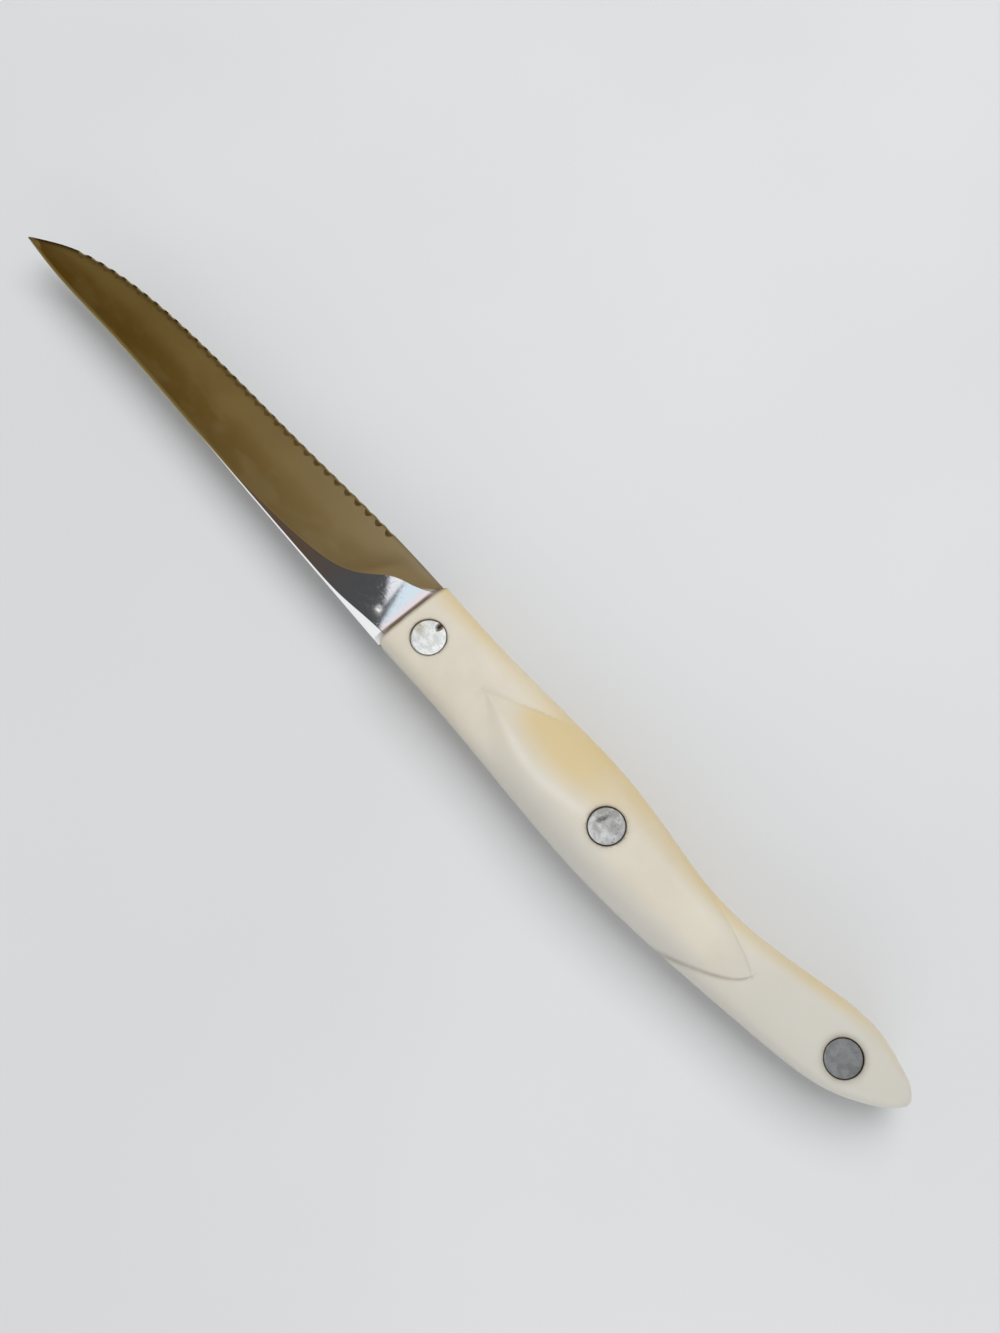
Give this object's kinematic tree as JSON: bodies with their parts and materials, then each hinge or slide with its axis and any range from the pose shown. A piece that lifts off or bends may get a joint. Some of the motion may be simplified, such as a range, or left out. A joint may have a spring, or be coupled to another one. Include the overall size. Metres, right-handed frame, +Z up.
{
  "type": "trimming knife",
  "caption": "Fixed-blade kitchen knife with a hollow-ground serrated blade, leaf-shaped swells on a moulded ivory handle and flush rivets.",
  "frame": {"origin": "on the table below the middle of the knife's box, with the knife lying on its left side", "axes": "+X along the knife towards the tip, +Y from the cutting edge towards the spine, +Z up out of the right-hand side"},
  "size_m": [0.2508, 0.0244, 0.0165],
  "materials": {
    "steel": "polished, hollow ground",
    "ivory_resin": "worn semi-gloss",
    "nickel_silver": "ground flush, scratched"
  },
  "bodies": {
    "root": {"blade": "steel", "right_scale": "ivory_resin", "left_scale": "ivory_resin", "front_rivet_male": "nickel_silver", "front_rivet_female": "nickel_silver", "middle_rivet_male": "nickel_silver", "middle_rivet_female": "nickel_silver", "butt_rivet_male": "nickel_silver", "butt_rivet_female": "nickel_silver"}
  },
  "joints": []
}
